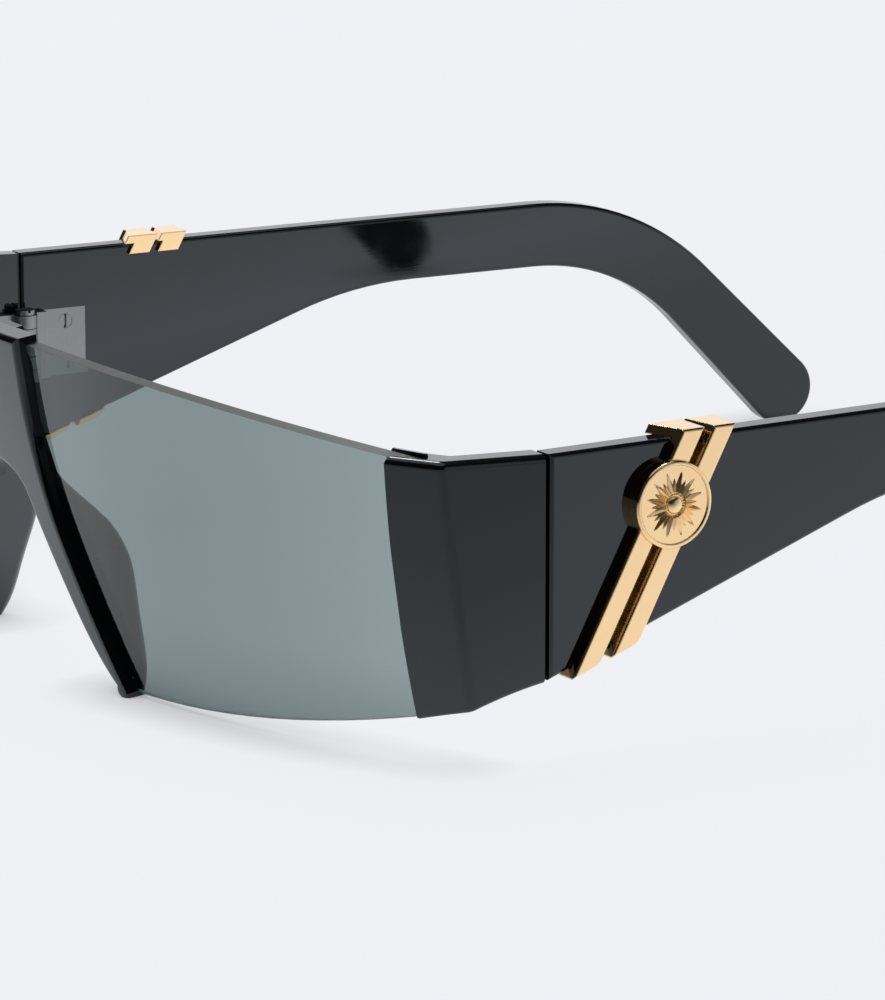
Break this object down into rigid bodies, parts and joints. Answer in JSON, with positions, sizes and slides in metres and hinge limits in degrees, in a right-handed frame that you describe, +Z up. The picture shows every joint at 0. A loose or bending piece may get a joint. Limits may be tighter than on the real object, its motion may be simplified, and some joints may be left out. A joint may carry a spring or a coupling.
{
  "type": "shield sunglasses",
  "caption": "Wrap shield sunglasses: one curved tinted pane, black bridge cover and creased end pieces, wide tapering folding temples, each with leaning gold bars and a medallion.",
  "frame": {"origin": "middle of the footprint at the level of the table that the open sunglasses stand on", "axes": "+X to the wearer's left, -Y out of the front, +Y towards the ears, +Z up"},
  "size_m": [0.145, 0.1624, 0.0421],
  "materials": {
    "shield": "grey-green mirror tint, polished",
    "black_gloss": "polished black acetate",
    "gold": "polished pale gold plating",
    "steel": "turned stainless"
  },
  "bodies": {
    "front": {"shield_lens": "shield", "bridge_cover": "black_gloss", "nose_saddle": "black_gloss", "bridge_screw_left": "steel", "end_piece_left": "black_gloss", "lens_screw_left": "steel", "hinge_front_leaf_left": "steel", "hinge_front_leaf_screws_left": "steel", "hinge_pin_left": "steel", "bridge_screw_right": "steel", "end_piece_right": "black_gloss", "lens_screw_right": "steel", "hinge_front_leaf_right": "steel", "hinge_front_leaf_screws_right": "steel", "hinge_pin_right": "steel"},
    "left_temple": {"hinge_temple_leaf_left": "steel", "hinge_temple_leaf_screws_left": "steel", "temple_left": "black_gloss", "temple_core_left": "steel", "ornament_strip_left": "gold", "ornament_bar_front_left": "gold", "ornament_bar_rear_left": "gold", "medallion_left": "gold", "rosette_left": "gold"},
    "right_temple": {"hinge_temple_leaf_right": "steel", "hinge_temple_leaf_screws_right": "steel", "temple_right": "black_gloss", "temple_core_right": "steel", "ornament_strip_right": "gold", "ornament_bar_front_right": "gold", "ornament_bar_rear_right": "gold", "medallion_right": "gold", "rosette_right": "gold"}
  },
  "joints": [
    {"name": "left_fold", "type": "hinge", "parent": "front", "child": "left_temple", "pos_m": [0.06573, -0.04382, 0.0232], "axis": [0, 0, 1], "range_deg": [0, 95]},
    {"name": "right_fold", "type": "hinge", "parent": "front", "child": "right_temple", "pos_m": [-0.06573, -0.04382, 0.0232], "axis": [0, 0, -1], "range_deg": [0, 85]}
  ]
}
